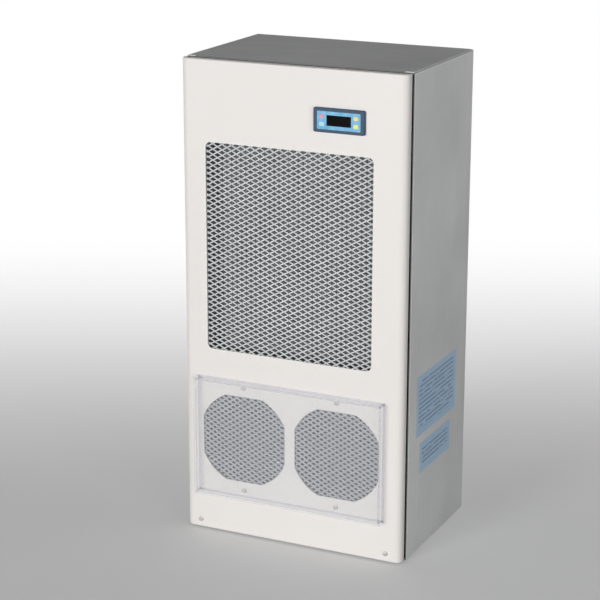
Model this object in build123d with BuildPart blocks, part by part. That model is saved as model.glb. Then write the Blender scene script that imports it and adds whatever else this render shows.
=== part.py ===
"""Enclosure air conditioner: a white front cover with an expanded metal intake grille, a controller
and two axial fans under a clear air hood, on a casing of bare steel sheet.

Millimetres. X runs to the right seen from the front, Y to the back, Z up. The origin is on the
floor, under the middle of the unit with its hood.
"""

import os
from math import cos, hypot, pi, sin

from build123d import *

# Front cover: a pan of painted sheet, rolled round at its upright edges, with a lip turned in at the back
COVER_WIDTH = 350.0
COVER_HEIGHT = 712.0
COVER_DEPTH = 12.0
COVER_SHEET = 1.5
COVER_BEND = 11.0
COVER_EDGE = 1.0
COVER_LIP = 8.0
COVER_LIFT = 3.0

# Casing behind the cover: two side trays, a top and a bottom sheet, and a back sheet
CASING_DEPTH = 228.0
CASING_PROUD = 1.0
CASING_SHEET = 1.2
CASING_BEND = 2.5
SIDE_FLANGE = 15.0
END_FLANGE = 22.0
FLANGE_GAP = 0.2

# Foam gasket between the cover's lip and the casing
GASKET_THICKNESS = 7.0
GASKET_WIDTH = 8.0
GASKET_INSET = 0.6
GASKET_CORNER = 4.0

# Intake opening, by its margins to the cover's edges
GRILLE_LEFT_MARGIN = 39.0
GRILLE_RIGHT_MARGIN = 50.0
GRILLE_TOP_MARGIN = 118.0
GRILLE_BOTTOM_MARGIN = 285.5
GRILLE_CORNER = 8.0

# Expanded metal: the intake grille and the sheets in front of the fans
MESH_SHEET = 1.2
MESH_MARGIN = 20.0
GRILLE_LONG_WAY = 30.0
GRILLE_SHORT_WAY = 16.0
GRILLE_STRAND = 3.4
FAN_MESH_LONG_WAY = 24.6
FAN_MESH_SHORT_WAY = 15.8
FAN_MESH_STRAND = 3.2

# Axial fans side by side, mounted on the back of the cover
FAN_SIDE_MARGIN = 25.5
FAN_PAIR_X = -3.0
FAN_AXIS_LIFT = 150.5
FAN_GAP = 1.0
FAN_DEPTH = 51.0
FAN_FLANGE = 5.0
FAN_LUG = 11.0
FAN_LUG_EDGE = 5.0
FAN_DUCT_WALL = 2.0
FAN_OPENING_EDGE = 0.5
FAN_FLAT_DEPTH = 6.0
MOTOR_DIAMETER = 72.0
MOTOR_BASE = 5.0
SHAFT_DIAMETER = 10.0
SHAFT_LENGTH = 24.0
STRUT_COUNT = 4
STRUT_WIDTH = 7.0
HUB_DIAMETER = 78.0
HUB_DEPTH = 38.0
HUB_EDGE = 3.0
HUB_CLEARANCE = 0.4
BLADE_COUNT = 5
BLADE_CHORD = 46.0
BLADE_ROOT_CHORD = 32.0
BLADE_PITCH = 38.0
BLADE_THICKNESS = 2.4
TIP_CLEARANCE = 1.5
SHAFT_CLEARANCE = 0.2

# Clear hood over the fans, glued up from sheet
HOOD_DEPTH = 16.0
HOOD_SHEET = 4.0
HOOD_SIDE_MARGIN = 9.2
HOOD_END_MARGIN = 11.5

# Controller, by its middle's distance to the cover's right and top edges
CONTROLLER_FROM_RIGHT = 101.0
CONTROLLER_FROM_TOP = 70.5
BEZEL_WIDTH = 77.0
BEZEL_HEIGHT = 34.5
BEZEL_DEPTH = 5.0
BEZEL_CORNER = 2.5
BEZEL_EDGE = 1.0
FACE_BORDER_X = 5.5
FACE_BORDER_Z = 4.5
FACE_CORNER = 1.5
FACE_POCKET = 1.8
FACE_FILM = 1.2
DISPLAY_WIDTH = 37.0
DISPLAY_HEIGHT = 15.0
DISPLAY_RECESS = 0.3
KEY_WIDTH = 7.4
KEY_HEIGHT = 5.6
KEY_CORNER = 1.5
KEY_RISE = 0.4
KEY_SPACING = 11.0
HOUSING_SETBACK = 3.8
HOUSING_DEPTH = 58.0
HOUSING_CLEARANCE = 0.3

# Screw holes: two in the cover's foot, and two for each fan
SCREW_HOLE = 4.5
COVER_SCREW_INSET = 24.0
COVER_SCREW_LIFT = 12.0

# Heat exchanger behind the intake grille
COIL_SIDE_SPACE = 23.0
COIL_MARGIN = 30.0
COIL_DEPTH = 44.0
COIL_SETBACK = 15.0
COIL_CORE = 10.0
FIN_PITCH = 6.0
FIN_THICKNESS = 1.6
BRACKET_SHEET = 1.5

# Back: air slots, bolt holes and a cable grommet
SLOT_SIDE_MARGIN = 63.0
SLOT_WIDTH = 8.0
SLOT_PITCH = 20.0
SLOT_COUNT = 8
UPPER_SLOTS_FROM_TOP = 167.0
LOWER_SLOTS_LIFT = 210.0
BOLT_HOLE = 7.0
BOLT_INSET = 60.0
GROMMET_HOLE = 24.0
GROMMET_LIP = 4.0
GROMMET_LIP_THICKNESS = 1.0
GROMMET_FROM_SIDE = 53.0
GROMMET_LIFT = 60.0

# Depths, from the hood's face back to the casing's back
TOTAL_DEPTH = HOOD_DEPTH + COVER_DEPTH + GASKET_THICKNESS + CASING_DEPTH
HOOD_Y = -TOTAL_DEPTH / 2
FACE_Y = HOOD_Y + HOOD_DEPTH
COVER_INSIDE_Y = FACE_Y + COVER_SHEET
FAN_FRONT_Y = COVER_INSIDE_Y + MESH_SHEET
COVER_BACK_Y = FACE_Y + COVER_DEPTH
CASING_FRONT_Y = COVER_BACK_Y + GASKET_THICKNESS
CASING_BACK_Y = CASING_FRONT_Y + CASING_DEPTH
CASING_MID_Y = (CASING_FRONT_Y + CASING_BACK_Y) / 2
BACK_SHEET_Y = CASING_BACK_Y - CASING_SHEET
COIL_FRONT_Y = CASING_FRONT_Y + COIL_SETBACK
COIL_MID_Y = COIL_FRONT_Y + COIL_DEPTH / 2

# Cover and casing
COVER_TOP = COVER_LIFT + COVER_HEIGHT
COVER_MID_Z = COVER_LIFT + COVER_HEIGHT / 2
COVER_SCREW_X = COVER_WIDTH / 2 - COVER_SCREW_INSET
COVER_SCREW_Z = COVER_LIFT + COVER_SCREW_LIFT
CASING_WIDTH = COVER_WIDTH + 2 * CASING_PROUD
CASING_HEIGHT = COVER_TOP + CASING_PROUD
CASING_MID_Z = CASING_HEIGHT / 2
CASING_INSIDE_X = CASING_WIDTH / 2 - CASING_SHEET
TRAY_HEIGHT = CASING_HEIGHT - 2 * CASING_SHEET
SIDE = {"left": -1, "right": 1}

# Intake opening and heat exchanger
GRILLE_WIDTH = COVER_WIDTH - GRILLE_LEFT_MARGIN - GRILLE_RIGHT_MARGIN
GRILLE_HEIGHT = COVER_HEIGHT - GRILLE_TOP_MARGIN - GRILLE_BOTTOM_MARGIN
GRILLE_X = (GRILLE_LEFT_MARGIN - GRILLE_RIGHT_MARGIN) / 2
GRILLE_Z = COVER_LIFT + GRILLE_BOTTOM_MARGIN + GRILLE_HEIGHT / 2
COIL_WIDTH = CASING_WIDTH - 2 * COIL_SIDE_SPACE
COIL_HEIGHT = GRILLE_HEIGHT + 2 * COIL_MARGIN

# Fans and hood
FAN_SPACING = COVER_WIDTH / 2 - FAN_SIDE_MARGIN
FAN_WIDTH = FAN_SPACING - FAN_GAP
FAN_DIAMETER = FAN_WIDTH + 2 * FAN_LUG
FAN_BORE = FAN_WIDTH - 2 * FAN_DUCT_WALL
FAN_SCREW_SPACING = FAN_DIAMETER - 2 * FAN_LUG_EDGE
FAN_OPENING_DIAMETER = FAN_BORE + 2 * FAN_OPENING_EDGE
FAN_OPENING_FLATS = FAN_OPENING_DIAMETER - 2 * FAN_FLAT_DEPTH
FAN_AXIS_Z = COVER_LIFT + FAN_AXIS_LIFT
FAN_X = {"left": FAN_PAIR_X - FAN_SPACING / 2, "right": FAN_PAIR_X + FAN_SPACING / 2}
HOOD_WIDTH = FAN_SPACING + FAN_OPENING_FLATS + 2 * HOOD_SIDE_MARGIN
HOOD_HEIGHT = FAN_SCREW_SPACING + 2 * HOOD_END_MARGIN
HOOD_WALL_DEPTH = HOOD_DEPTH - HOOD_SHEET

# Controller
CONTROLLER_X = COVER_WIDTH / 2 - CONTROLLER_FROM_RIGHT
CONTROLLER_Z = COVER_TOP - CONTROLLER_FROM_TOP
BEZEL_FRONT_Y = FACE_Y - BEZEL_DEPTH
FACE_WIDTH = BEZEL_WIDTH - 2 * FACE_BORDER_X
FACE_HEIGHT = BEZEL_HEIGHT - 2 * FACE_BORDER_Z
FACE_BACK_Y = BEZEL_FRONT_Y + FACE_POCKET
FACE_FRONT_Y = FACE_BACK_Y - FACE_FILM
KEY_X = (DISPLAY_WIDTH + FACE_WIDTH) / 4
HOUSING_WIDTH = BEZEL_WIDTH - 2 * HOUSING_SETBACK
HOUSING_HEIGHT = BEZEL_HEIGHT - 2 * HOUSING_SETBACK

# Back
SLOT_LENGTH = CASING_WIDTH - 2 * SLOT_SIDE_MARGIN
UPPER_SLOTS_Z = CASING_HEIGHT - UPPER_SLOTS_FROM_TOP
BOLT_X = CASING_WIDTH / 2 - SIDE_FLANGE / 2
BOLT_SPACING_Z = CASING_HEIGHT - 2 * BOLT_INSET
GROMMET_X = CASING_WIDTH / 2 - GROMMET_FROM_SIDE

os.makedirs("parts", exist_ok=True)


def front_facing(y, x=0, z=0):
    """A plane across the unit that faces the front, with its own x and y along X and Z."""
    return Plane(origin=(x, y, z), x_dir=(1, 0, 0), z_dir=(0, -1, 0))


def save(piece, name):
    piece.part.label = name
    export_step(piece.part, f"parts/{name}.step")


def draw_fan_flange():
    """A fan's flange: a disc with flats to the left and right and a screw hole at the top and bottom."""
    Circle(FAN_DIAMETER / 2)
    Rectangle(FAN_WIDTH, FAN_DIAMETER, mode=Mode.INTERSECT)
    with GridLocations(0, FAN_SCREW_SPACING, 1, 2):
        Circle(SCREW_HOLE / 2, mode=Mode.SUBTRACT)


def cut_diamonds(columns, rows, long_way, short_way, strand):
    """Cuts the staggered diamonds of expanded metal out of the open sketch."""
    height_of_strand = long_way * short_way / 2 / hypot(long_way, short_way)
    inset = 1 - strand / 2 / height_of_strand
    half_long = long_way / 2 * inset
    half_short = short_way / 2 * inset
    corners = [(half_long, 0), (0, half_short), (-half_long, 0), (0, -half_short)]
    with GridLocations(long_way, short_way, columns, rows):
        Polygon(*corners, mode=Mode.SUBTRACT)
    with GridLocations(long_way, short_way, columns + 1, rows + 1):
        Polygon(*corners, mode=Mode.SUBTRACT)


# Front cover
with BuildPart() as front_cover:
    with BuildSketch(Plane.XY.offset(COVER_LIFT)) as cover_plan:
        with Locations((0, FACE_Y + COVER_DEPTH / 2)):
            Rectangle(COVER_WIDTH, COVER_DEPTH)
        fillet(cover_plan.vertices().group_by(Axis.Y)[0], COVER_BEND)
    extrude(amount=COVER_HEIGHT)
    cover_ends = front_cover.faces().filter_by(Axis.Z)
    chamfer([edge for end in cover_ends for edge in end.edges().sort_by(Axis.Y)[:-1]], COVER_EDGE)
    offset(amount=-COVER_SHEET, openings=front_cover.faces().sort_by(Axis.Y)[-1])
    with BuildSketch(front_facing(COVER_BACK_Y, 0, COVER_MID_Z)):
        Rectangle(COVER_WIDTH, COVER_HEIGHT)
        Rectangle(COVER_WIDTH - 2 * COVER_LIP, COVER_HEIGHT - 2 * COVER_LIP, mode=Mode.SUBTRACT)
    extrude(amount=COVER_SHEET)
    with BuildSketch(front_facing(FACE_Y)):
        with Locations((GRILLE_X, GRILLE_Z)):
            RectangleRounded(GRILLE_WIDTH, GRILLE_HEIGHT, GRILLE_CORNER)
        with Locations((CONTROLLER_X, CONTROLLER_Z)):
            Rectangle(HOUSING_WIDTH + 2 * HOUSING_CLEARANCE, HOUSING_HEIGHT + 2 * HOUSING_CLEARANCE)
        with Locations((-COVER_SCREW_X, COVER_SCREW_Z), (COVER_SCREW_X, COVER_SCREW_Z)):
            Circle(SCREW_HOLE / 2)
        with Locations((FAN_PAIR_X, FAN_AXIS_Z)):
            with GridLocations(FAN_SPACING, FAN_SCREW_SPACING, 2, 2):
                Circle(SCREW_HOLE / 2)
    extrude(amount=-COVER_SHEET, mode=Mode.SUBTRACT)
    for fan_x in FAN_X.values():
        with BuildSketch(front_facing(FACE_Y, fan_x, FAN_AXIS_Z)):
            Circle(FAN_OPENING_DIAMETER / 2)
            Rectangle(FAN_OPENING_FLATS, FAN_OPENING_FLATS, mode=Mode.INTERSECT)
        extrude(amount=-COVER_SHEET, mode=Mode.SUBTRACT)
save(front_cover, "front_cover")

# Intake grille: one sheet of expanded metal, its diamonds drawn at twice their pitch
with BuildPart() as intake_grille:
    with BuildSketch(front_facing(COVER_INSIDE_Y, GRILLE_X, GRILLE_Z)):
        Rectangle(GRILLE_WIDTH + 2 * MESH_MARGIN, GRILLE_HEIGHT + 2 * MESH_MARGIN)
        grille_columns = int(GRILLE_WIDTH / GRILLE_LONG_WAY) + 1
        grille_rows = int(GRILLE_HEIGHT / GRILLE_SHORT_WAY) + 1
        cut_diamonds(grille_columns, grille_rows, GRILLE_LONG_WAY, GRILLE_SHORT_WAY, GRILLE_STRAND)
    extrude(amount=-MESH_SHEET)
save(intake_grille, "intake_grille")

# Expanded metal in front of each fan, cut to the outline of the fan's flange
for side, fan_x in FAN_X.items():
    with BuildPart() as fan_mesh:
        with BuildSketch(front_facing(COVER_INSIDE_Y, fan_x, FAN_AXIS_Z)):
            Circle(FAN_OPENING_DIAMETER / 2)
            mesh_columns = int(FAN_OPENING_DIAMETER / FAN_MESH_LONG_WAY) + 1
            mesh_rows = int(FAN_OPENING_DIAMETER / FAN_MESH_SHORT_WAY) + 1
            cut_diamonds(mesh_columns, mesh_rows, FAN_MESH_LONG_WAY, FAN_MESH_SHORT_WAY, FAN_MESH_STRAND)
        extrude(amount=-MESH_SHEET)
        with BuildSketch(front_facing(COVER_INSIDE_Y, fan_x, FAN_AXIS_Z)):
            draw_fan_flange()
            Circle(FAN_BORE / 2, mode=Mode.SUBTRACT)
        extrude(amount=-MESH_SHEET)
    save(fan_mesh, f"fan_mesh_{side}")

# Fan frames: two flanges on a duct, with struts at the back that carry the motor
for side, fan_x in FAN_X.items():
    with BuildPart() as fan_frame:
        with BuildSketch(front_facing(FAN_FRONT_Y, fan_x, FAN_AXIS_Z)):
            Circle(FAN_WIDTH / 2)
        extrude(amount=-FAN_DEPTH)
        for flange_y in (FAN_FRONT_Y, FAN_FRONT_Y + FAN_DEPTH - FAN_FLANGE):
            with BuildSketch(front_facing(flange_y, fan_x, FAN_AXIS_Z)):
                draw_fan_flange()
            extrude(amount=-FAN_FLANGE)
        with BuildSketch(front_facing(FAN_FRONT_Y, fan_x, FAN_AXIS_Z)):
            Circle(FAN_BORE / 2)
        extrude(amount=-FAN_DEPTH, mode=Mode.SUBTRACT)
        motor_front_y = FAN_FRONT_Y + FAN_DEPTH - MOTOR_BASE
        with BuildSketch(front_facing(motor_front_y, fan_x, FAN_AXIS_Z)):
            with PolarLocations(FAN_BORE / 4, STRUT_COUNT, start_angle=45):
                Rectangle(FAN_BORE / 2 + FAN_FLANGE / 4, STRUT_WIDTH)
            Circle(MOTOR_DIAMETER / 2)
        extrude(amount=-MOTOR_BASE)
        with BuildSketch(front_facing(motor_front_y, fan_x, FAN_AXIS_Z)):
            Circle(SHAFT_DIAMETER / 2)
        extrude(amount=SHAFT_LENGTH)
    save(fan_frame, f"fan_frame_{side}")

# Fan rotors: twisted blades on a hub, trimmed to run inside the duct
for side, fan_x in FAN_X.items():
    hub_back_y = FAN_FRONT_Y + FAN_DEPTH - MOTOR_BASE - HUB_CLEARANCE
    hub_mid_y = hub_back_y - HUB_DEPTH / 2
    with BuildPart() as fan_rotor:
        with BuildSketch(front_facing(hub_back_y, fan_x, FAN_AXIS_Z)):
            Circle(HUB_DIAMETER / 2)
        extrude(amount=HUB_DEPTH)
        chamfer(fan_rotor.faces().sort_by(Axis.Y)[0].edges(), HUB_EDGE)
        for blade in range(BLADE_COUNT):
            angle = 2 * pi * blade / BLADE_COUNT
            for station, chord in ((HUB_DIAMETER / 4, BLADE_ROOT_CHORD), (FAN_BORE / 2, BLADE_CHORD)):
                station_plane = Plane(
                    origin=(fan_x + station * cos(angle), hub_mid_y, FAN_AXIS_Z + station * sin(angle)),
                    x_dir=(-sin(angle), 0, cos(angle)),
                    z_dir=(cos(angle), 0, sin(angle)),
                )
                with BuildSketch(station_plane):
                    Rectangle(chord, BLADE_THICKNESS, rotation=BLADE_PITCH)
            loft()
        with BuildSketch(front_facing(hub_back_y, fan_x, FAN_AXIS_Z)):
            Circle(FAN_DIAMETER / 2)
            Circle(FAN_BORE / 2 - TIP_CLEARANCE, mode=Mode.SUBTRACT)
        extrude(amount=HUB_DEPTH, mode=Mode.SUBTRACT)
        with BuildSketch(front_facing(hub_back_y, fan_x, FAN_AXIS_Z)):
            Circle(SHAFT_DIAMETER / 2 + SHAFT_CLEARANCE)
        extrude(amount=SHAFT_LENGTH, mode=Mode.SUBTRACT)
    save(fan_rotor, f"fan_rotor_{side}")

# Clear hood: a front sheet on four walls, butted at the corners
with BuildPart() as hood_front:
    with BuildSketch(front_facing(HOOD_Y, FAN_PAIR_X, FAN_AXIS_Z)):
        Rectangle(HOOD_WIDTH, HOOD_HEIGHT)
    extrude(amount=-HOOD_SHEET)
save(hood_front, "hood_front")

for name, direction in (("top", 1), ("bottom", -1)):
    wall_z = FAN_AXIS_Z + direction * (HOOD_HEIGHT - HOOD_SHEET) / 2
    with BuildPart() as hood_wall:
        with BuildSketch(front_facing(FACE_Y, FAN_PAIR_X, wall_z)):
            Rectangle(HOOD_WIDTH, HOOD_SHEET)
        extrude(amount=HOOD_WALL_DEPTH)
    save(hood_wall, f"hood_{name}_wall")

for side, direction in SIDE.items():
    wall_x = FAN_PAIR_X + direction * (HOOD_WIDTH - HOOD_SHEET) / 2
    with BuildPart() as hood_wall:
        with BuildSketch(front_facing(FACE_Y, wall_x, FAN_AXIS_Z)):
            Rectangle(HOOD_SHEET, HOOD_HEIGHT - 2 * HOOD_SHEET)
        extrude(amount=HOOD_WALL_DEPTH)
    save(hood_wall, f"hood_{side}_wall")

# Controller: a bezel on the cover's face, with the face film, the display and the keys in its pocket
with BuildPart() as controller_bezel:
    with BuildSketch(front_facing(FACE_Y, CONTROLLER_X, CONTROLLER_Z)):
        RectangleRounded(BEZEL_WIDTH, BEZEL_HEIGHT, BEZEL_CORNER)
    extrude(amount=BEZEL_DEPTH)
    chamfer(controller_bezel.faces().sort_by(Axis.Y)[0].edges(), BEZEL_EDGE)
    with BuildSketch(front_facing(BEZEL_FRONT_Y, CONTROLLER_X, CONTROLLER_Z)):
        RectangleRounded(FACE_WIDTH, FACE_HEIGHT, FACE_CORNER)
    extrude(amount=-FACE_POCKET, mode=Mode.SUBTRACT)
save(controller_bezel, "controller_bezel")

with BuildPart() as controller_face:
    with BuildSketch(front_facing(FACE_BACK_Y, CONTROLLER_X, CONTROLLER_Z)):
        RectangleRounded(FACE_WIDTH, FACE_HEIGHT, FACE_CORNER)
        Rectangle(DISPLAY_WIDTH, DISPLAY_HEIGHT, mode=Mode.SUBTRACT)
    extrude(amount=FACE_FILM)
save(controller_face, "controller_face")

with BuildPart() as controller_display:
    with BuildSketch(front_facing(FACE_BACK_Y, CONTROLLER_X, CONTROLLER_Z)):
        Rectangle(DISPLAY_WIDTH, DISPLAY_HEIGHT)
    extrude(amount=FACE_FILM - DISPLAY_RECESS)
save(controller_display, "controller_display")

for name, key_x, key_z in (
    ("key_set", -KEY_X, KEY_SPACING / 2),
    ("key_mode", -KEY_X, -KEY_SPACING / 2),
    ("key_up", KEY_X, KEY_SPACING / 2),
    ("key_down", KEY_X, -KEY_SPACING / 2),
):
    with BuildPart() as controller_key:
        with BuildSketch(front_facing(FACE_FRONT_Y, CONTROLLER_X + key_x, CONTROLLER_Z + key_z)):
            RectangleRounded(KEY_WIDTH, KEY_HEIGHT, KEY_CORNER)
        extrude(amount=KEY_RISE)
    save(controller_key, f"controller_{name}")

with BuildPart() as controller_housing:
    with BuildSketch(front_facing(FACE_Y, CONTROLLER_X, CONTROLLER_Z)):
        Rectangle(HOUSING_WIDTH, HOUSING_HEIGHT)
    extrude(amount=-HOUSING_DEPTH)
save(controller_housing, "controller_housing")

# Gasket
with BuildPart() as gasket:
    with BuildSketch(front_facing(COVER_BACK_Y, 0, COVER_MID_Z)):
        gasket_width = COVER_WIDTH - 2 * GASKET_INSET
        gasket_height = COVER_HEIGHT - 2 * GASKET_INSET
        RectangleRounded(gasket_width, gasket_height, GASKET_CORNER)
        Rectangle(gasket_width - 2 * GASKET_WIDTH, gasket_height - 2 * GASKET_WIDTH, mode=Mode.SUBTRACT)
    extrude(amount=-GASKET_THICKNESS)
save(gasket, "gasket")

# Side panels: trays that turn in at all four edges, with bolt holes in the back flange
for side, direction in SIDE.items():
    with BuildPart() as side_panel:
        outer_x = direction * CASING_WIDTH / 2
        with BuildSketch(Plane.YZ.offset(outer_x)):
            with Locations((CASING_MID_Y, CASING_MID_Z)):
                Rectangle(CASING_DEPTH, TRAY_HEIGHT)
        extrude(amount=-direction * SIDE_FLANGE)
        outward = Axis((0, 0, 0), (direction, 0, 0))
        fillet(side_panel.faces().sort_by(outward)[-1].edges(), CASING_BEND)
        offset(amount=-CASING_SHEET, openings=side_panel.faces().sort_by(outward)[0])
        with BuildSketch(front_facing(CASING_BACK_Y, direction * BOLT_X, CASING_MID_Z)):
            with GridLocations(0, BOLT_SPACING_Z, 1, 2):
                Circle(BOLT_HOLE / 2)
        extrude(amount=CASING_SHEET, mode=Mode.SUBTRACT)
    save(side_panel, f"{side}_side_panel")

# Top and bottom panels: sheets on the trays, turned in at the front and back between the trays' flanges
for name, outer_z, inward in (("top", CASING_HEIGHT, -1), ("bottom", 0, 1)):
    with BuildPart() as end_panel:
        sheet_width = CASING_WIDTH - 2 * CASING_BEND
        flange_width = CASING_WIDTH - 2 * SIDE_FLANGE - 2 * FLANGE_GAP
        flange_z = outer_z + inward * END_FLANGE / 2
        sheet_z = outer_z + inward * CASING_SHEET / 2
        with BuildSketch(Plane.YZ):
            with Locations((CASING_MID_Y, flange_z)):
                Rectangle(CASING_DEPTH, END_FLANGE)
        extrude(amount=flange_width / 2, both=True)
        inward_axis = Axis((0, 0, 0), (0, 0, inward))
        fillet(end_panel.faces().sort_by(inward_axis)[0].edges().filter_by(Axis.X), CASING_BEND)
        open_faces = end_panel.faces().filter_by(Axis.X) + end_panel.faces().sort_by(inward_axis)[-1:]
        offset(amount=-CASING_SHEET, openings=open_faces)
        with BuildSketch(Plane.YZ):
            with Locations((CASING_MID_Y, sheet_z)):
                Rectangle(CASING_DEPTH - 2 * CASING_BEND, CASING_SHEET)
        extrude(amount=sheet_width / 2, both=True)
        if name == "bottom":
            with BuildSketch(front_facing(CASING_FRONT_Y, 0, COVER_SCREW_Z)):
                with GridLocations(2 * COVER_SCREW_X, 0, 2, 1):
                    Circle(SCREW_HOLE / 2)
            extrude(amount=-CASING_SHEET, mode=Mode.SUBTRACT)
    save(end_panel, f"{name}_panel")

# Back panel: inside the back flanges, with the air slots of the second circuit
with BuildPart() as back_panel:
    back_width = 2 * (CASING_INSIDE_X - CASING_BEND)
    back_height = TRAY_HEIGHT - 2 * CASING_SHEET - 2 * CASING_BEND
    with BuildSketch(front_facing(BACK_SHEET_Y, 0, CASING_MID_Z)):
        Rectangle(back_width, back_height)
        with GridLocations(2 * BOLT_X, BOLT_SPACING_Z, 2, 2):
            Circle(BOLT_HOLE / 2, mode=Mode.SUBTRACT)
        for slots_z in (UPPER_SLOTS_Z, LOWER_SLOTS_LIFT):
            with Locations((0, slots_z - CASING_MID_Z)):
                with GridLocations(0, SLOT_PITCH, 1, SLOT_COUNT):
                    Rectangle(SLOT_LENGTH, SLOT_WIDTH, mode=Mode.SUBTRACT)
        with Locations((GROMMET_X, GROMMET_LIFT - CASING_MID_Z)):
            Circle(GROMMET_HOLE / 2, mode=Mode.SUBTRACT)
    extrude(amount=CASING_SHEET)
save(back_panel, "back_panel")

# Cable grommet: a closed rubber plug in the back panel, with a lip on each side
with BuildPart() as cable_grommet:
    with BuildSketch(front_facing(BACK_SHEET_Y, GROMMET_X, GROMMET_LIFT)):
        Circle(GROMMET_HOLE / 2)
    extrude(amount=CASING_SHEET)
    for lip_y, outward in ((BACK_SHEET_Y, -1), (BACK_SHEET_Y - CASING_SHEET, 1)):
        with BuildSketch(front_facing(lip_y, GROMMET_X, GROMMET_LIFT)):
            Circle(GROMMET_HOLE / 2 + GROMMET_LIP)
        extrude(amount=outward * GROMMET_LIP_THICKNESS)
save(cable_grommet, "cable_grommet")

# Heat exchanger: upright fins on a core, hung between two channel brackets
with BuildPart() as coil_fins:
    with BuildSketch(front_facing(COIL_FRONT_Y, 0, GRILLE_Z)):
        Rectangle(COIL_WIDTH, COIL_HEIGHT)
    extrude(amount=-COIL_DEPTH)
    fin_count = int(COIL_WIDTH / FIN_PITCH)
    fin_depth = (COIL_DEPTH - COIL_CORE) / 2
    for groove_y in (COIL_FRONT_Y, COIL_FRONT_Y + COIL_DEPTH - fin_depth):
        with BuildSketch(front_facing(groove_y, 0, GRILLE_Z)):
            with GridLocations(FIN_PITCH, 0, fin_count - 1, 1):
                Rectangle(FIN_PITCH - FIN_THICKNESS, COIL_HEIGHT)
        extrude(amount=-fin_depth, mode=Mode.SUBTRACT)
save(coil_fins, "coil_fins")

for side, direction in SIDE.items():
    with BuildPart() as coil_bracket:
        leg = CASING_INSIDE_X - COIL_WIDTH / 2
        bracket_x = direction * (COIL_WIDTH / 2 + leg / 2)
        with BuildSketch(Plane.XY.offset(GRILLE_Z - COIL_HEIGHT / 2)):
            with Locations((bracket_x, COIL_MID_Y)):
                Rectangle(leg, COIL_DEPTH)
            with Locations((bracket_x + direction * BRACKET_SHEET, COIL_MID_Y)):
                Rectangle(leg, COIL_DEPTH - 2 * BRACKET_SHEET, mode=Mode.SUBTRACT)
        extrude(amount=COIL_HEIGHT)
    save(coil_bracket, f"coil_bracket_{side}")
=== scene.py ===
# %% [markdown]
# # Dressing an enclosure air conditioner
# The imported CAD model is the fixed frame: every panel, sheet and fan already stands in its place.
# This lesson gives those nodes their finishes and adds what is too fine for the solids: expanded metal
# and fins at their real pitch, a clear hood with polished edges, and screws.

# %% Load the frame
import math

import bmesh
import bpy
from mathutils import Matrix, Vector


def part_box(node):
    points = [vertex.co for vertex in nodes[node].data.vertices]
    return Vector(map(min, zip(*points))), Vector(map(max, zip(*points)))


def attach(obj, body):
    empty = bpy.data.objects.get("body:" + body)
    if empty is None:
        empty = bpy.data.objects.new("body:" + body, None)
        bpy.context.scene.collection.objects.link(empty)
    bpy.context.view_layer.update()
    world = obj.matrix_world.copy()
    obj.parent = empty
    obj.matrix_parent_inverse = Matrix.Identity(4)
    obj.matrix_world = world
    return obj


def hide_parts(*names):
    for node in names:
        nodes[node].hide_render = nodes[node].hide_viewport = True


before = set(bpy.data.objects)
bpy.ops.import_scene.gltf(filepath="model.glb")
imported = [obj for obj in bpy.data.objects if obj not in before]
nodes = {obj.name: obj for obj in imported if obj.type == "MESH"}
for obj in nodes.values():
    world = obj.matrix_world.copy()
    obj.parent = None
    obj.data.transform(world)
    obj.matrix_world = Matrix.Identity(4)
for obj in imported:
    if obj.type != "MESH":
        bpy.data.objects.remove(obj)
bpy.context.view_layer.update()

MM = 0.001

# %% [markdown]
# ## Camera
# The photograph was taken from the right of the front and a little above, with a long lens, so the
# upright edges stay almost parallel. A camera could be placed by eye, but then every later comparison
# would be off by a few pixels. Here its place, turn and lens come from matching the edges of the box. The
# focal length is kept in pixels of the square picture and turned into millimetres.

# %% Camera
PICTURE = 600
FOCAL_PIXELS = 1912.7
SENSOR_WIDTH = 36.0
CAMERA_PLACE = (1.1324, -2.4797, 1.1473)
CAMERA_YAW = math.radians(25.62)
CAMERA_PITCH = math.radians(16.282)
CENTRE_OFFSET = (-9.5, -1.84)

camera_data = bpy.data.cameras.new("camera")
camera_data.sensor_width = SENSOR_WIDTH
camera_data.lens = FOCAL_PIXELS / PICTURE * SENSOR_WIDTH
camera_data.shift_x = -CENTRE_OFFSET[0] / PICTURE
camera_data.shift_y = CENTRE_OFFSET[1] / PICTURE
camera = bpy.data.objects.new("camera", camera_data)
camera.location = CAMERA_PLACE
camera.rotation_euler = (math.pi / 2 - CAMERA_PITCH, 0, CAMERA_YAW)
bpy.context.scene.collection.objects.link(camera)
bpy.context.scene.camera = camera
print("lens", round(camera_data.lens, 1), "mm")

# %% [markdown]
# ## Shader sums
# A finish could be wired node by node, but it is easier to read as arithmetic. `Shade` wraps one socket,
# so that `0.4 + 0.1 * grain` adds the Math nodes by itself. Every other node comes from its one method
# `add`, which takes the node's type, its settings and what its sockets hold.


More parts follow.
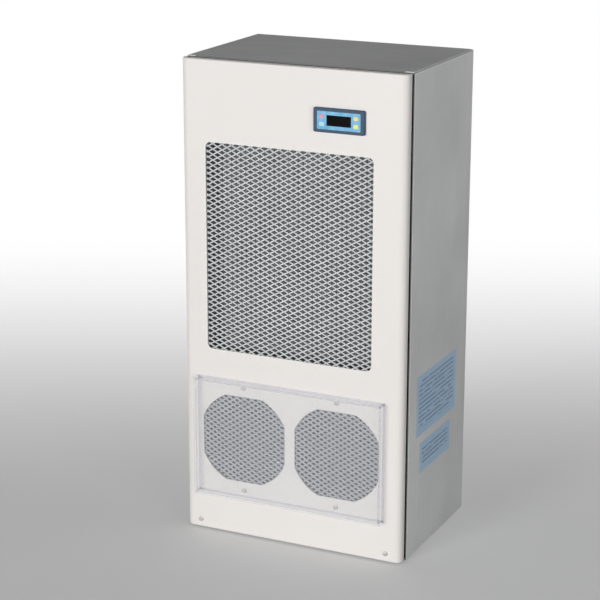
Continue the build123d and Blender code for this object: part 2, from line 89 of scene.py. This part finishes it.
# %% The Shade class
class Shade:
    """One socket of a node tree. Sums on it add Math nodes."""

    def __init__(self, tree, socket=None):
        self.tree = tree
        self.socket = socket

    def add(self, kind, settings=None, inputs=None, output=0):
        node = self.tree.nodes.new(kind)
        for name, value in (settings or {}).items():
            setattr(node, name, value)
        for name, value in (inputs or {}).items():
            if isinstance(value, Shade):
                self.tree.links.new(value.socket, node.inputs[name])
            else:
                node.inputs[name].default_value = value
        return Shade(self.tree, node.outputs[output])

    def math(self, operation, first, second=0.0):
        return self.add("ShaderNodeMath", {"operation": operation}, {0: first, 1: second})

    def __add__(self, other):
        return self.math("ADD", self, other)

    def __sub__(self, other):
        return self.math("SUBTRACT", self, other)

    def __rsub__(self, other):
        return self.math("SUBTRACT", other, self)

    def __mul__(self, other):
        return self.math("MULTIPLY", self, other)

    __radd__ = __add__
    __rmul__ = __mul__

    def below(self, limit):
        """1 where this value is under a number, and 0 elsewhere."""
        return self.math("LESS_THAN", self, limit)

    def above(self, limit):
        """1 where this value is over a number, and 0 elsewhere."""
        return self.math("GREATER_THAN", self, limit)

    def between(self, low, high):
        """1 where this value lies between two numbers, and 0 elsewhere."""
        return self.above(low) * self.below(high)

    def axis(self, number):
        """How far this place lies along x, y or z, which are 0, 1 and 2."""
        return self.add("ShaderNodeSeparateXYZ", {}, {"Vector": self}, output=number)

    def noise(self, scale, detail=2.0, stretch=(1, 1, 1)):
        """Cloudy values from 0 to 1 at this place, with about scale clouds to a metre."""
        place = self.add("ShaderNodeMapping", {}, {"Vector": self, "Scale": stretch})
        cloud = {"Vector": place, "Scale": scale, "Detail": detail}
        return self.add("ShaderNodeTexNoise", {}, cloud)

    def blend(self, low, high):
        """A colour from low to high as this value goes from 0 to 1. Each is three numbers or a Shade."""
        low, high = (end if isinstance(end, Shade) else (*end, 1) for end in (low, high))
        ends = {"Factor": self, 6: low, 7: high}
        return self.add("ShaderNodeMix", {"data_type": "RGBA"}, ends, output=2)


# %% [markdown]
# ## Starting and feeding a finish
# Every material here begins in the same way: a Principled shader, and the place on the object that the
# patterns are read from. Object coordinates are in metres of the shared frame, so a pattern keeps its
# size on every piece. `feed` fills the shader's sockets, and `dress` puts the finish on CAD nodes.


# %% Finish helpers
def start_finish(name):
    """A new material with a Principled shader: returns the material, the shader node and the place."""
    finish = bpy.data.materials.new(name)
    finish.use_nodes = True
    shader = finish.node_tree.nodes["Principled BSDF"]
    return finish, shader, Shade(finish.node_tree).add("ShaderNodeTexCoord", output="Object")


def feed(shader, **inputs):
    """Sets or links the sockets of a shader; an underscore in a name stands for a space."""
    for name, value in inputs.items():
        socket = shader.inputs[name.replace("_", " ")]
        if isinstance(value, Shade):
            value.tree.links.new(value.socket, socket)
        else:
            socket.default_value = value


def bump(height, distance):
    """A normal that makes a surface rise by distance where height is 1."""
    return height.add("ShaderNodeBump", {}, {"Height": height, "Distance": distance})


def dress(finish, *names):
    """Puts a finish on CAD nodes."""
    for name in names:
        nodes[name].data.materials.clear()
        nodes[name].data.materials.append(finish)
    print(finish.name, "on", len(names), "nodes")


# %% [markdown]
# ## Powder coat
# The front cover is sheet steel with a warm white powder coat. Powder flows out into a very shallow
# orange peel. Modelling it would take millions of faces, so the finish has a bump of about a millimetre's
# pitch, and a faint cloud in its colour.

# %% Cover paint
PEEL_PER_METRE = 650.0
PEEL_HEIGHT = 0.02 * MM

cover_paint, shader, place = start_finish("cover_paint")
cloud = place.noise(6.0)
peel = place.noise(PEEL_PER_METRE, detail=1.0)
feed(
    shader,
    Base_Color=cloud.blend((0.795, 0.765, 0.735), (0.825, 0.797, 0.770)),
    Roughness=0.42 + 0.08 * place.noise(40.0),
    Specular_IOR_Level=0.3,
    Normal=bump(peel, PEEL_HEIGHT),
)
dress(cover_paint, "front_cover")

# %% [markdown]
# ## Casing sheet
# The casing behind the cover is bare zinc-coated sheet, which is dull: it spreads light almost as paint
# does, so a metallic shader would mirror too much. Rolling leaves fine streaks along the sheet, so a noise
# is stretched in one direction, and a broad cloud stands for the uneven zinc. At the front a strip of each
# sheet is darker: painted shade in the seam behind the cover.

# %% Casing steel
STREAK_HEIGHT = 0.02 * MM
SEAM_SHADE_WIDTH = 2.0 * MM
ZINC_DARK = (0.52, 0.528, 0.526)
ZINC_PALE = (0.98, 0.988, 0.986)
SEAM_SHADE_STEEL = (0.30, 0.305, 0.304)
casing_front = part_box("top_panel")[0].y


def casing_finish(name):
    """Bare sheet: returns its material, shader, place and colour."""
    finish, shader, place = start_finish(name)
    streak = place.noise(30.0, detail=3.0, stretch=(12, 12, 0.15))
    cloud = place.noise(5.0, detail=3.0)
    sheet = (0.15 * streak + 0.85 * cloud).blend(ZINC_DARK, ZINC_PALE)
    # Painted shade: a darker strip at the front of each sheet, in the seam behind the cover.
    colour = place.axis(1).below(casing_front + SEAM_SHADE_WIDTH).blend(sheet, SEAM_SHADE_STEEL)
    feed(
        shader,
        Base_Color=colour,
        Roughness=0.50 + 0.14 * streak,
        Specular_IOR_Level=0.05,
        Normal=bump(streak, STREAK_HEIGHT),
    )
    return finish, shader, place, colour


casing_steel = casing_finish("casing_steel")[0]
dress(
    casing_steel,
    "left_side_panel",
    "top_panel",
    "bottom_panel",
    "back_panel",
    "coil_bracket_left",
    "coil_bracket_right",
)

# %% [markdown]
# ## Bends of the right side
# The right side is a tray whose front and top edges are bent over. A bend catches the light, so a pale line
# runs along it. A strip of its own would stand proud of the sheet, so instead the side's colour is lighter
# within a few millimetres of those edges, and only on the outer face: a painted highlight.

# %% Highlight painted on the bends
BEND = 2.5 * MM
OUTER_FACE = 0.5 * MM
HIGHLIGHT_ZINC = (0.97, 0.98, 0.98)

side_low, side_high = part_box("right_side_panel")
side_steel, side_shader, side_place, side_colour = casing_finish("side_steel")
width, depth, height = (side_place.axis(number) for number in range(3))
front_bend = depth.below(side_low.y + BEND)
top_bend = height.above(side_high.z - BEND)
either_bend = depth.math("MAXIMUM", front_bend, top_bend)
# Painted highlight: the outer face is lighter along the bent front and top edges.
bend = width.above(side_high.x - OUTER_FACE) * either_bend
painted_bend_highlight = bend.blend(side_colour, HIGHLIGHT_ZINC)
print("right side from", tuple(side_low), "to", tuple(side_high))

# %% [markdown]
# ## Films on the right side
# Two pale blue films lie on the right side. A film is far thinner than the sheet, so it needs no piece of
# its own: the side's finish changes inside two rectangles, which are measured in millimetres from the
# cover's face and from the floor. Each film is plain, with faint ruled rows inside a margin.

# %% Right side with its films
FILMS = (((49.0, 203.0), (180.0, 272.0)), ((64.0, 184.0), (121.0, 167.0)))
FILM_MARGIN = 9.0
ROWS_PER_METRE = 150.0
ROW_SHARE = 0.5
ROW_BREAK = 0.40
FILM_BLUE = (0.53, 0.72, 0.92)
ROW_BLUE = (0.30, 0.42, 0.57)

cover_low, cover_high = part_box("front_cover")


def film_area(margin):
    """1 inside the two films, less a margin in millimetres."""
    large, small = (
        depth.between(cover_low.y + (near + margin) * MM, cover_low.y + (far - margin) * MM)
        * height.between((foot + margin) * MM, (head - margin) * MM)
        for (near, far), (foot, head) in FILMS
    )
    return large + small


rows = height.math("FRACT", height * ROWS_PER_METRE).below(ROW_SHARE)
unbroken = side_place.noise(60.0, stretch=(1, 1, 4)).between(ROW_BREAK, 1.0)
row_tone = film_area(FILM_MARGIN) * rows * unbroken + 0.3 * side_place.noise(60.0)
film_colour = row_tone.blend(FILM_BLUE, ROW_BLUE)
feed(side_shader, Base_Color=film_area(0.0).blend(painted_bend_highlight, film_colour))
dress(side_steel, "right_side_panel")

# %% [markdown]
# ## Foam, rubber and black plastic
# The seal between the cover and the casing is black cellular foam, the grommet is rubber, and the fans
# are moulded in black. One function makes all three, because they differ only in how dark they are, in
# their grain and in how they shine. Foam swallows light in its cells, so it has no shine at all.


# %% Dark finishes
def dark_finish(name, colour, roughness, grain_per_metre, grain_height, shine=0.5):
    """A grained dark material. Shine is its mirror gloss, which is 0.5 on most plastics."""
    finish, shader, place = start_finish(name)
    grain = place.noise(grain_per_metre, detail=3.0)
    lighter = tuple(1.6 * value for value in colour)
    feed(
        shader,
        Base_Color=grain.blend(colour, lighter),
        Roughness=roughness - 0.15 * grain,
        Specular_IOR_Level=shine,
        Normal=bump(grain, grain_height),
    )
    return finish


foam = dark_finish("foam", (0.012, 0.012, 0.012), 0.95, 900.0, 0.3 * MM, shine=0.0)
dress(foam, "gasket")
grommet_rubber = dark_finish("grommet_rubber", (0.018, 0.018, 0.018), 0.75, 400.0, 0.05 * MM)
dress(grommet_rubber, "cable_grommet")
fan_black = dark_finish("fan_black", (0.022, 0.022, 0.024), 0.55, 500.0, 0.03 * MM)
dress(fan_black, "fan_frame_left", "fan_frame_right", "fan_rotor_left", "fan_rotor_right")

# %% [markdown]
# ## Controller
# A moulded bezel of slate blue holds a printed film, a black window and four keys. The shapes are all in
# the CAD model, so only finishes are needed. The bezel is another dark plastic, the film is mottled as thin
# printed film is, and the window is smooth and almost black.

# %% Controller finishes
bezel_plastic = dark_finish("bezel_plastic", (0.029, 0.054, 0.092), 0.75, 900.0, 0.02 * MM)
dress(bezel_plastic, "controller_bezel", "controller_housing")

face_film, shader, place = start_finish("face_film")
feed(
    shader,
    Base_Color=place.noise(120.0).blend((0.02, 0.25, 0.58), (0.29, 0.65, 0.81)),
    Roughness=0.25 + 0.1 * place.noise(300.0),
)
dress(face_film, "controller_face")

display_window, shader, place = start_finish("display_window")
feed(
    shader,
    Base_Color=place.noise(80.0).blend((0.004, 0.004, 0.005), (0.012, 0.012, 0.014)),
    Roughness=0.06 + 0.05 * place.noise(120.0),
    Specular_IOR_Level=0.02,
)
dress(display_window, "controller_display")

# %% [markdown]
# ## Keys
# The four keys are soft plastic in four colours. They could share one finish with a colour for each
# object, but an export keeps plain materials best, so a loop makes one finish for each key.

# %% Key finishes
KEY_COLOURS = {
    "key_set": (0.62, 0.16, 0.36),
    "key_mode": (0.30, 0.66, 0.74),
    "key_up": (0.74, 0.58, 0.14),
    "key_down": (0.78, 0.74, 0.12),
}
for key, colour in KEY_COLOURS.items():
    finish, shader, place = start_finish(f"controller_{key}")
    pale = tuple(0.5 + 0.5 * value for value in colour)
    feed(
        shader,
        Base_Color=(0.5 * place.noise(420.0)).blend(colour, pale),
        Roughness=0.3 + 0.1 * place.noise(300.0),
    )
    dress(finish, f"controller_{key}")

# %% [markdown]
# ## Making pieces
# A new piece is a bmesh in metres, in the frame's own place, so its object can stay at the origin.
# `make_piece` turns the bmesh into an object that rides on the one body of this fixed unit. `turn` and
# `clip` are two steps that several pieces need.


# %% Piece helpers
def make_piece(name, builder, finishes, stands_for=()):
    """Makes a bmesh an object on the fixed body; stands_for lists the CAD nodes that it replaces."""
    mesh = bpy.data.meshes.new(name)
    builder.to_mesh(mesh)
    builder.free()
    piece = bpy.data.objects.new(name, mesh)
    for finish in finishes:
        mesh.materials.append(finish)
    bpy.context.scene.collection.objects.link(piece)
    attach(piece, "root")
    if stands_for:
        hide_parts(*stands_for)
    print(name, len(mesh.polygons), "faces")


def turn(builder, degrees, axis):
    """Turns everything about an axis through the origin."""
    rotation = Matrix.Rotation(math.radians(degrees), 3, axis)
    bmesh.ops.rotate(builder, verts=builder.verts, cent=(0, 0, 0), matrix=rotation)


def clip(builder, point, normal):
    """Cuts away everything in front of a plane."""
    bmesh.ops.bisect_plane(
        builder,
        geom=builder.verts[:] + builder.edges[:] + builder.faces[:],
        plane_co=point,
        plane_no=normal,
        clear_outer=True,
    )


# %% [markdown]
# ## Heat exchanger
# Through the grille the fins of the heat exchanger show as a dull grey. The solid has every third fin
# only, which shows as bands behind the mesh. A striped material would look flat from the side, so here
# every fin is a thin sheet, scaled from a cube, and all of them stand through one core, as fins stand on
# their tubes.

# %% Fins
FIN_PITCH = 2.1 * MM
FIN_SHEET = 0.3 * MM
FIN_STAND = 9.0 * MM

fin_aluminium, shader, place = start_finish("fin_aluminium")
dust = place.noise(25.0, detail=3.0)
feed(
    shader,
    Base_Color=dust.blend((0.58, 0.59, 0.60), (0.80, 0.81, 0.82)),
    Metallic=0.3,
    Roughness=0.45 + 0.2 * dust,
)
coil_low, coil_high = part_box("coil_fins")
coil_middle, coil_size = (coil_low + coil_high) / 2, coil_high - coil_low


def add_block(builder, middle, size):
    """Adds a box of a size about its middle."""
    block = Matrix.Translation(middle) @ Matrix.Diagonal((*size, 1))
    bmesh.ops.create_cube(builder, size=1.0, matrix=block)


builder = bmesh.new()
core_size = coil_size - Vector((2 * FIN_SHEET, 2 * FIN_STAND, 2 * FIN_SHEET))
add_block(builder, coil_middle, core_size)
fin_gaps = math.ceil(coil_size.x / FIN_PITCH)
for number in range(fin_gaps + 1):
    offset = (number / fin_gaps - 0.5) * (coil_size.x - FIN_SHEET)
    fin_middle = coil_middle + Vector((offset, 0, 0))
    add_block(builder, fin_middle, (FIN_SHEET, coil_size.y, coil_size.z))
make_piece("coil_fine_fins", builder, [fin_aluminium], ["coil_fins"])

# %% [markdown]
# ## Finish of the expanded metal
# The intake's sheet is paler than the fans' sheets, which sit behind the hood. Both are the same mottled
# zinc, and the fans' darker copy of it is painted shade, so one function takes the two ends of the colour.
# A little metal in the shader gives the strands their glints.

# %% Mesh finishes
MESH_GRAIN = 0.03 * MM


def mesh_finish(name, dark, pale):
    """Mottled zinc between two colours."""
    finish, shader, place = start_finish(name)
    mottle = place.noise(90.0, detail=3.0)
    feed(
        shader,
        Base_Color=mottle.blend(dark, pale),
        Metallic=0.2,
        Roughness=0.40 + 0.16 * mottle,
        Normal=bump(place.noise(700.0), MESH_GRAIN),
    )
    return finish


grille_steel = mesh_finish("grille_steel", (0.33, 0.345, 0.355), (0.60, 0.615, 0.625))
# Painted shade: the fans' sheets behind the hood get a darker copy of the same zinc.
shaded_fan_mesh_steel = mesh_finish("shaded_fan_mesh_steel", (0.295, 0.30, 0.325), (0.385, 0.39, 0.415))
print("finishes", grille_steel.name, shaded_fan_mesh_steel.name)

# %% [markdown]
# ## A field of diamonds
# Expanded metal is sheet that is slit in rows and pulled open, so the slits become diamonds. Each strand
# could be a bar of its own, but the bars would have to be joined where they meet. A square grid stood on
# its corner and squashed is already a field of diamonds, joined everywhere. What lies well outside the
# sheet is dropped at once, to keep the field small.

# %% Diamond field
FOUR_SIDES = ((1, 0), (-1, 0), (0, 1), (0, -1))
HALF_DIAGONAL = math.sqrt(0.5)


def diamond_field(width, height, pitch):
    """Flat diamonds of a pitch, about the origin, that cover a sheet of this width and height."""
    cells = 2 * math.ceil(max(width / pitch[0], height / pitch[1]) + 1)
    builder = bmesh.new()
    bmesh.ops.create_grid(builder, x_segments=cells, y_segments=cells, size=cells / 2)
    turn(builder, 45, "Z")
    squash = (pitch[0] / 2 / HALF_DIAGONAL, pitch[1] / 2 / HALF_DIAGONAL, 1)
    bmesh.ops.scale(builder, verts=builder.verts, vec=squash)
    for x, y in FOUR_SIDES:
        edge = Vector((x * width / 2, y * height / 2, 0))
        limit = edge + Vector((x * pitch[0], y * pitch[1], 0))
        outside = [
            face for face in builder.faces if (face.calc_center_median() - limit).dot(edge) > 0
        ]
        bmesh.ops.delete(builder, geom=outside, context="FACES")
    return builder


# %% [markdown]
# ## Leaning strands
# Insetting each diamond leaves the strands round its opening. Pulling the sheet open also twists them, so
# every strand leans. Moving the upper corner of each opening forward and the lower one back gives that
# lean, and the openings themselves are then deleted.

# %% Strands
LEAN = 0.55 * MM
LEVEL_SHARE = 0.1


def open_diamonds(builder, pitch, strand):
    """Turns a flat field of diamonds into leaning strands of a given width."""
    openings = builder.faces[:]
    bmesh.ops.inset_individual(
        builder, faces=openings, thickness=strand / 2, use_even_offset=True
    )
    upper, lower = [], []
    for opening in openings:
        centre = opening.calc_center_median()
        for corner in opening.verts:
            rise = (corner.co.y - centre.y) / pitch[1]
            if rise > LEVEL_SHARE:
                upper.append(corner)
            elif rise < -LEVEL_SHARE:
                lower.append(corner)
    bmesh.ops.translate(builder, verts=upper, vec=(0, 0, LEAN))
    bmesh.ops.translate(builder, verts=lower, vec=(0, 0, -LEAN))
    bmesh.ops.delete(builder, geom=openings, context="FACES")


# %% [markdown]
# ## Sheets of expanded metal
# Three sheets stand in for the CAD sheets, which have every second diamond only. Each field is stood
# upright in its node's place and trimmed with planes, because a cut sheet really does end in the middle
# of its diamonds. The fan sheets also lose their corners. Last, solidify gives the strands the sheet's
# thickness.

# %% Expanded metal
GRILLE_PITCH = (15.0 * MM, 8.0 * MM)
FAN_MESH_PITCH = (12.3 * MM, 7.9 * MM)
GRILLE_STRAND = 1.95 * MM
FAN_STRAND = 2.5 * MM
FAN_TRIM = 50.0 * MM
SHEET = 0.9 * MM
FOUR_CORNERS = ((1, 1), (-1, 1), (1, -1), (-1, -1))


def expanded_metal(name, node, finish, pitch, strand, trim=0.0):
    """A sheet of expanded metal as large as the CAD node, with its corners cut off by trim."""
    low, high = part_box(node)
    middle, size = (low + high) / 2, high - low
    builder = diamond_field(size.x, size.z, pitch)
    open_diamonds(builder, pitch, strand)
    turn(builder, 90, "X")
    place = (middle.x, low.y + LEAN + SHEET / 2, middle.z)
    bmesh.ops.translate(builder, verts=builder.verts, vec=place)
    for x, z in FOUR_SIDES:
        clip(builder, (middle.x + x * size.x / 2, 0, middle.z + z * size.z / 2), (x, 0, z))
    if trim:
        for x, z in FOUR_CORNERS:
            corner_x = high.x if x > 0 else low.x
            corner_z = high.z if z > 0 else low.z
            clip(builder, (corner_x - x * trim / 2, 0, corner_z - z * trim / 2), (x, 0, z))
    bmesh.ops.recalc_face_normals(builder, faces=builder.faces)
    bmesh.ops.solidify(builder, geom=builder.faces[:], thickness=SHEET)
    bmesh.ops.recalc_face_normals(builder, faces=builder.faces)
    make_piece(name, builder, [finish], [node])


expanded_metal("grille_strands", "intake_grille", grille_steel, GRILLE_PITCH, GRILLE_STRAND)
for side in ("left", "right"):
    expanded_metal(
        f"fan_strands_{side}",
        f"fan_mesh_{side}",
        shaded_fan_mesh_steel,
        FAN_MESH_PITCH,
        FAN_STRAND,
        trim=FAN_TRIM,
    )

# %% [markdown]
# ## Clear acrylic
# The hood over the fans is clear acrylic. A glass shader would bend the light and leave the paint behind
# it dark, so each finish mixes a tinted Transparent shader with a share of glossy body. The front sheet has
# a slight haze, the walls hardly any, and the polished edges most. Clear sheet scatters light onwards more
# than back, so for rays to a lamp the share is a number of its own. The upright walls stand edge-on to the
# lamp, and theirs is the largest.

# %% Clear finishes
HAZE_LIFT = 1.05
CLEAR_ROUGHNESS = 0.08


def mix_surface(finish, share, low, high):
    """Makes a finish show the shader low where share is 0, and the shader high where it is 1."""
    mixed = share.add("ShaderNodeMixShader", {}, {0: share, 1: low, 2: high})
    output = finish.node_tree.nodes["Material Output"]
    share.tree.links.new(mixed.socket, output.inputs["Surface"])


def clear_finish(name, tint, body, body_share, gloss_share, shadow_share):
    """Clear sheet. The shares of body are the one head-on, what a slant adds, and the one for a lamp."""
    finish, shader, place = start_finish(name)
    lifted = tuple(min(1.0, HAZE_LIFT * value) for value in body)
    feed(shader, Base_Color=place.noise(30.0).blend(body, lifted), Roughness=CLEAR_ROUGHNESS)
    facing = place.add("ShaderNodeLayerWeight", {}, {"Blend": 0.25}, output=1)
    shadow_ray = place.add("ShaderNodeLightPath", output="Is Shadow Ray")
    seen_share = body_share + gloss_share * facing
    share = seen_share * (1.0 - shadow_ray) + shadow_share * shadow_ray
    transparent = place.add("ShaderNodeBsdfTransparent", {}, {"Color": (*tint, 1)})
    mix_surface(finish, share, transparent, Shade(place.tree, shader.outputs[0]))
    return finish


HAZY_TINT, WALL_TINT, EDGE_TINT = (0.985, 0.988, 0.990), (0.997, 0.997, 0.998), (0.955, 0.955, 0.975)
HAZY_BODY, WALL_BODY, EDGE_BODY = (0.69, 0.70, 0.72), (0.90, 0.90, 0.91), (0.62, 0.62, 0.70)

clear_sheet = clear_finish("clear_sheet", HAZY_TINT, HAZY_BODY, 0.15, 0.10, 0.05)
clear_wall = clear_finish("clear_wall", WALL_TINT, WALL_BODY, 0.01, 0.05, 0.04)
clear_edge = clear_finish("clear_edge", EDGE_TINT, EDGE_BODY, 0.26, 0.08, 0.08)
clear_upright = clear_finish("clear_upright", WALL_TINT, WALL_BODY, 0.01, 0.05, 0.22)
hood_finishes = [clear_sheet, clear_wall, clear_edge, clear_upright]
FRONT_SLOT, WALL_SLOT, EDGE_SLOT, UPRIGHT_SLOT = range(len(hood_finishes))
print("hood finishes", [finish.name for finish in hood_finishes])

# %% [markdown]
# ## Clear hood
# The hood is glued from five sheets. Where clear pieces only touch, a renderer shows every joint, so the
# five CAD sheets become one shell: a box without its back, bevelled along its edges and given the sheet's
# thickness. It stops a hair short of the paint, because two faces in one plane render as dark dashes.

# %% Hood shell
HOOD_SHEETS = [
    "hood_front", "hood_top_wall", "hood_bottom_wall", "hood_left_wall", "hood_right_wall",
]
HOOD_BEVEL = 0.8 * MM
GLUE_LINE = 0.1 * MM
SQUARE_ON = 0.99

boxes = [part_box(node) for node in HOOD_SHEETS]
hood_low = Vector([min(box[0][axis] for box in boxes) for axis in range(3)])
hood_high = Vector([max(box[1][axis] for box in boxes) for axis in range(3)])
hood_high.y -= GLUE_LINE
hood_sheet = boxes[0][1].y - boxes[0][0].y

builder = bmesh.new()
bmesh.ops.create_cube(builder, size=1.0)
bmesh.ops.scale(builder, verts=builder.verts, vec=hood_high - hood_low)
bmesh.ops.translate(builder, verts=builder.verts, vec=(hood_low + hood_high) / 2)
back = [face for face in builder.faces if face.normal.y > SQUARE_ON]
bmesh.ops.delete(builder, geom=back, context="FACES")
folds = [edge for edge in builder.edges if not edge.is_boundary]
bevelled = bmesh.ops.bevel(
    builder, geom=folds, offset=HOOD_BEVEL, affect="EDGES", segments=2, profile=0.5, material=-1
)
for face in builder.faces:
    if face.normal.y < -SQUARE_ON:
        face.material_index = FRONT_SLOT
    elif abs(face.normal.x) > SQUARE_ON:
        face.material_index = UPRIGHT_SLOT
    else:
        face.material_index = WALL_SLOT
for face in bevelled["faces"]:
    face.material_index = EDGE_SLOT
bmesh.ops.recalc_face_normals(builder, faces=builder.faces)
bmesh.ops.solidify(builder, geom=builder.faces[:], thickness=hood_sheet)
for face in builder.faces:
    at_the_rim = face.calc_center_median().y > hood_high.y - HOOD_BEVEL
    if at_the_rim and abs(face.normal.y) > SQUARE_ON:
        face.material_index = EDGE_SLOT
make_piece("clear_hood", builder, hood_finishes, HOOD_SHEETS)

# %% [markdown]
# ## Screws
# Two screws hold the cover at its foot and two hold each fan. A plain disc would catch no light, so each
# head is a short cylinder with a rounded rim and a sunk middle. Its face is found again after the bevel,
# because the operator makes new faces.

# %% Screws
HEAD_RADIUS = 3.5 * MM
HEAD_HEIGHT = 2.2 * MM
HEAD_RIM = 0.8 * MM
HEAD_SIDES = 24
RECESS_INSET = 0.3 * HEAD_RADIUS
RECESS_WALL = 0.1 * HEAD_RADIUS
RECESS_DEPTH = 0.4 * HEAD_HEIGHT
COVER_SCREW_INSET = 24.0 * MM
COVER_SCREW_LIFT = 12.0 * MM
FAN_LUG_EDGE = 5.0 * MM

screw_steel, shader, place = start_finish("screw_steel")
wear = place.noise(600.0)
feed(
    shader,
    Base_Color=wear.blend((0.46, 0.43, 0.40), (0.66, 0.61, 0.57)),
    Metallic=0.3,
    Roughness=0.30 + 0.15 * wear,
)


def front_face(builder):
    """The face that lies furthest forward."""
    return min(builder.faces, key=lambda face: face.calc_center_median().y)


def screw_head(name, x, z):
    """A screw head on the face of the cover."""
    builder = bmesh.new()
    bmesh.ops.create_cone(
        builder,
        cap_ends=True,
        segments=HEAD_SIDES,
        radius1=HEAD_RADIUS,
        radius2=HEAD_RADIUS,
        depth=HEAD_HEIGHT,
    )
    turn(builder, 90, "X")
    rim = front_face(builder).edges[:]
    bmesh.ops.bevel(
        builder, geom=rim, offset=HEAD_RIM, affect="EDGES", segments=3, profile=0.5, material=-1
    )
    front = front_face(builder)
    bmesh.ops.inset_individual(builder, faces=[front], thickness=RECESS_INSET)
    bmesh.ops.inset_individual(
        builder, faces=[front], thickness=RECESS_WALL, depth=-RECESS_DEPTH
    )
    place = (x, cover_low.y - HEAD_HEIGHT / 2, z)
    bmesh.ops.translate(builder, verts=builder.verts, vec=place)
    bmesh.ops.recalc_face_normals(builder, faces=builder.faces)
    make_piece(name, builder, [screw_steel])


screw_head("cover_screw_left", cover_low.x + COVER_SCREW_INSET, cover_low.z + COVER_SCREW_LIFT)
screw_head("cover_screw_right", cover_high.x - COVER_SCREW_INSET, cover_low.z + COVER_SCREW_LIFT)
for side in ("left", "right"):
    low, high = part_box(f"fan_frame_{side}")
    for end, z in (("top", high.z - FAN_LUG_EDGE), ("bottom", low.z + FAN_LUG_EDGE)):
        screw_head(f"fan_screw_{side}_{end}", (low.x + high.x) / 2, z)

# %% [markdown]
# ## Floor finish
# The unit stands on a pale floor that runs into a white surround without a line. A floor lit to white would
# need lamps that burn out the cover, so the floor glows a little instead, and only for the rays by which it
# is seen: it still takes shadows and adds no light of its own. Behind the unit it fades to clear, so the
# white surround shows through. For other views it also fades in a wide ring, and there only for the
# camera's own rays, which leaves the light as it is.

# %% Floor finish
FADE_FROM = 2.65
FADE_TO = 4.5
ROUND_FROM = 1.9
ROUND_TO = 3.5
FLOOR_LIFT = 0.22
BLACK = (0, 0, 0)


def seen_rays(tree):
    """1 for the rays by which the surround is seen, straight or in gloss or through clear sheet."""
    camera_ray, glossy_ray, clear_ray = (
        Shade(tree).add("ShaderNodeLightPath", output=f"Is {kind} Ray")
        for kind in ("Camera", "Glossy", "Transmission")
    )
    return camera_ray.math("MINIMUM", camera_ray + glossy_ray + clear_ray, 1.0)


def fade_over(distance, begin, end):
    """0 up to begin, 1 from end on, and smooth between them."""
    reach = {"Value": distance, "From Min": begin, "From Max": end}
    return distance.add("ShaderNodeMapRange", {"interpolation_type": "SMOOTHSTEP"}, reach)


floor_finish, shader, place = start_finish("floor")
feed(
    shader,
    Base_Color=place.noise(2.0).blend((0.55, 0.55, 0.55), (0.58, 0.58, 0.58)),
    Roughness=0.8,
    Emission_Color=seen_rays(place.tree).blend(BLACK, (FLOOR_LIFT, FLOOR_LIFT, FLOOR_LIFT)),
    Emission_Strength=1.0,
)
heading = Vector((-math.sin(CAMERA_YAW), math.cos(CAMERA_YAW), 0))
start = FADE_FROM + heading.dot(Vector(CAMERA_PLACE))
along = place.add(
    "ShaderNodeVectorMath", {"operation": "DOT_PRODUCT"}, {0: place, 1: heading}, output=1
)
away = place.add("ShaderNodeVectorMath", {"operation": "LENGTH"}, {0: place}, output=1)
camera_ray = place.add("ShaderNodeLightPath", output="Is Camera Ray")
far_ahead = fade_over(along, start, start + FADE_TO - FADE_FROM)
far_round = fade_over(away, ROUND_FROM, ROUND_TO) * camera_ray
fade = place.math("MAXIMUM", far_ahead, far_round)
clear = place.add("ShaderNodeBsdfTransparent")
mix_surface(floor_finish, fade, Shade(place.tree, shader.outputs[0]), clear)
print("floor fades over", FADE_TO - FADE_FROM, "m behind and", ROUND_TO - ROUND_FROM, "m all round")

# %% [markdown]
# ## Floor
# The floor is one large flat grid at the unit's feet. It isn't part of the object, so it rides on nothing.

# %% Floor
FLOOR_REACH = 15.0

builder = bmesh.new()
bmesh.ops.create_grid(builder, x_segments=1, y_segments=1, size=FLOOR_REACH)
floor_mesh = bpy.data.meshes.new("floor")
builder.to_mesh(floor_mesh)
builder.free()
floor_mesh.materials.append(floor_finish)
floor = bpy.data.objects.new("floor", floor_mesh)
bpy.context.scene.collection.objects.link(floor)
print("floor", 2 * FLOOR_REACH, "m across")

# %% [markdown]
# ## Surround
# The photograph's background is white, but a white world would light the unit from all sides and wash out
# its edges. So the world is white only for the rays by which it is seen, and gives the unit a weak light
# from everywhere.

# %% World
SURROUND = 1.0
AMBIENT = 0.09

world = bpy.data.worlds.new("surround")
bpy.context.scene.world = world
world.use_nodes = True
background = world.node_tree.nodes["Background"]
seen = seen_rays(world.node_tree)
feed(background, Color=(1, 1, 1, 1), Strength=AMBIENT + (SURROUND - AMBIENT) * seen)
print("world", SURROUND, "as seen,", AMBIENT, "as light")

# %% [markdown]
# ## Lamps
# The key lamp is large and far off, so that the cover is lit evenly. It stands a little to the left: the
# rolled right edge of the cover turns out of its light, and the hood throws a thin shadow to the right, as in
# the photograph. The fill lamp on the right lifts the side and reaches in behind the grille. Neither stands
# high, because the top is the darkest of the three faces. A third lamp lights the back, which only other
# views show. No lamp is seen as a bright square, in any view.

# %% Lamps
AIM = Vector((0, 0, 0.36))


def lamp(name, place, size, power):
    """A square lamp that faces the middle of the unit."""
    data = bpy.data.lights.new(name, "AREA")
    data.shape = "SQUARE"
    data.size = size
    data.energy = power
    source = bpy.data.objects.new(name, data)
    source.location = place
    source.rotation_euler = (AIM - Vector(place)).to_track_quat("-Z", "Y").to_euler()
    source.visible_camera = False
    bpy.context.scene.collection.objects.link(source)
    print(name, power, "W")


lamp("key", (-4.2, -14.6, 2.1), 4.6, 1610.0)
lamp("fill", (3.3, -2.5, 0.6), 2.0, 61.0)
lamp("back", (0.6, 6.0, 0.5), 2.0, 90.0)

# %% [markdown]
# ## Finish
# The Standard view shows a colour as it is written, where the default one would soften the whites.

# %% Finish
bpy.context.scene.view_settings.view_transform = "Standard"
